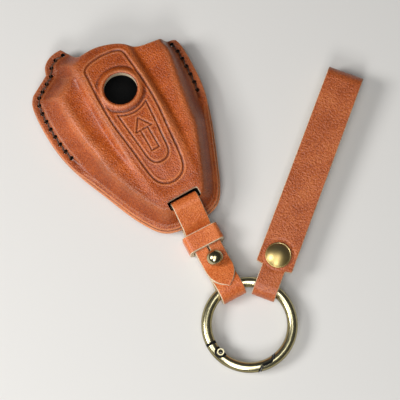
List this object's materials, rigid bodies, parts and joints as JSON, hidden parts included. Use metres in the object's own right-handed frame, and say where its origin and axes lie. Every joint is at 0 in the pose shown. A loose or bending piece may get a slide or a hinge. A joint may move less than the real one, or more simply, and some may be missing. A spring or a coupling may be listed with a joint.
{
  "type": "key fob cover",
  "caption": "Moulded leather key fob cover with a pressed front window, a buttoned connector strap, a spring-gate ring and a folded wrist strap.",
  "frame": {"origin": "middle of the flat patch on the case's back, on the surface that it lies on", "axes": "+Z out of the moulded front, +Y from the strap's nose to the open mouth, +X to the right from the front"},
  "size_m": [0.0981, 0.1229, 0.0149],
  "materials": {
    "case_leather": "moulded, waxed",
    "strap_leather": "smooth, waxed",
    "lining": "matt suede",
    "thread": "waxed",
    "polished_brass": "polished",
    "antique_brass": "antique, satin",
    "spring_steel": "drawn wire"
  },
  "bodies": {
    "case": {"front_shell": "case_leather", "front_lining": "lining", "back_shell": "case_leather", "back_lining": "lining", "left_seam_thread": "thread", "right_seam_thread": "thread", "strap_root": "strap_leather"},
    "strap": {"strap_ring_leg": "strap_leather", "strap_tip_leg": "strap_leather", "ball_stud": "polished_brass", "stud_screw": "polished_brass"},
    "keeper": {"keeper_loop": "strap_leather"},
    "ring": {"ring_body": "antique_brass", "gate_rivet": "antique_brass"},
    "gate": {"ring_gate": "antique_brass", "gate_spring": "spring_steel"},
    "wrist": {"wrist_strap": "strap_leather", "snap_cap": "polished_brass", "snap_socket": "polished_brass", "snap_stud": "polished_brass", "snap_post": "polished_brass"}
  },
  "joints": [
    {"name": "strap_swing", "type": "hinge", "parent": "case", "child": "strap", "pos_m": [-0.00036, -0.03819, 0.00378], "axis": [-0.9993, 0.0384, 0], "range_deg": [-40, 40], "deforming": ["strap_root"]},
    {"name": "keeper_slide", "type": "slide", "parent": "strap", "child": "keeper", "axis": [-0.0384, -0.9993, 0], "range_m": [-0.0003, 0.0016]},
    {"name": "ring_swing", "type": "hinge", "parent": "strap", "child": "ring", "pos_m": [-0.00118, -0.05943, 0.0038], "axis": [-0.9993, 0.0384, 0], "range_deg": [-60, 60]},
    {"name": "gate_open", "type": "hinge", "parent": "ring", "child": "gate", "pos_m": [-0.01382, -0.07545, 0.0038], "axis": [0, 0, 1], "range_deg": [0, 30], "stiffness_Nm_per_rad": 0.02, "springref_deg": -20.05},
    {"name": "wrist_swing", "type": "hinge", "parent": "ring", "child": "wrist", "pos_m": [0.00905, -0.06498, 0.0038], "axis": [0.6293, -0.7771, 0], "range_deg": [-60, 60]}
  ]
}
